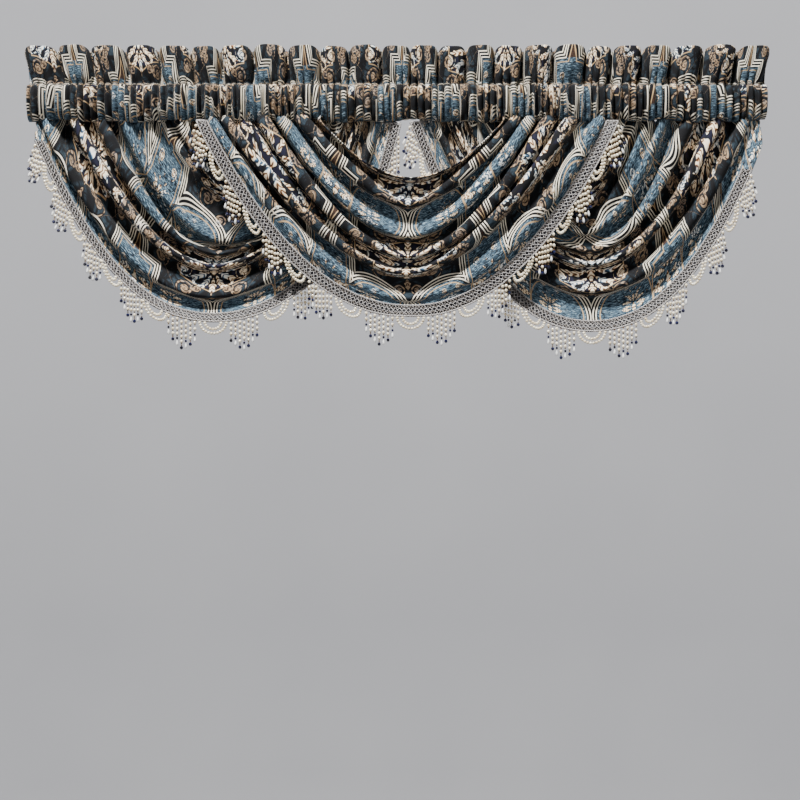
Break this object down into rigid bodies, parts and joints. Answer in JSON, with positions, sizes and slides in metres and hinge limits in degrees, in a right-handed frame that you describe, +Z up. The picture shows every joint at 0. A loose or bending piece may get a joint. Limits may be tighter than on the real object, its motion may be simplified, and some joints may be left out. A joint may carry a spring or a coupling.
{
  "type": "waterfall valance",
  "caption": "Waterfall valance with a gathered rod-pocket heading, overlapping draped swags and a beaded fringe hanging from a braid.",
  "frame": {"origin": "middle of the heading's top edge, where the valance hangs from its rod", "axes": "+X along the heading to the viewer's right, +Z up, -Y towards the room (the show side)"},
  "size_m": [1.2466, 0.0732, 0.5225],
  "materials": {
    "heading_cloth": "woven jacquard with chenille fields, matt",
    "swag_cloth": "woven jacquard with chenille fields, matt",
    "braid_and_beads": "silver-grey openwork braid with pearl, glass and faceted beads"
  },
  "bodies": {
    "root": {"heading": "heading_cloth", "swag_left": "swag_cloth", "swag_right": "swag_cloth", "swag_center": "swag_cloth", "trim_left": "braid_and_beads", "trim_right": "braid_and_beads", "trim_center": "braid_and_beads"}
  },
  "joints": []
}
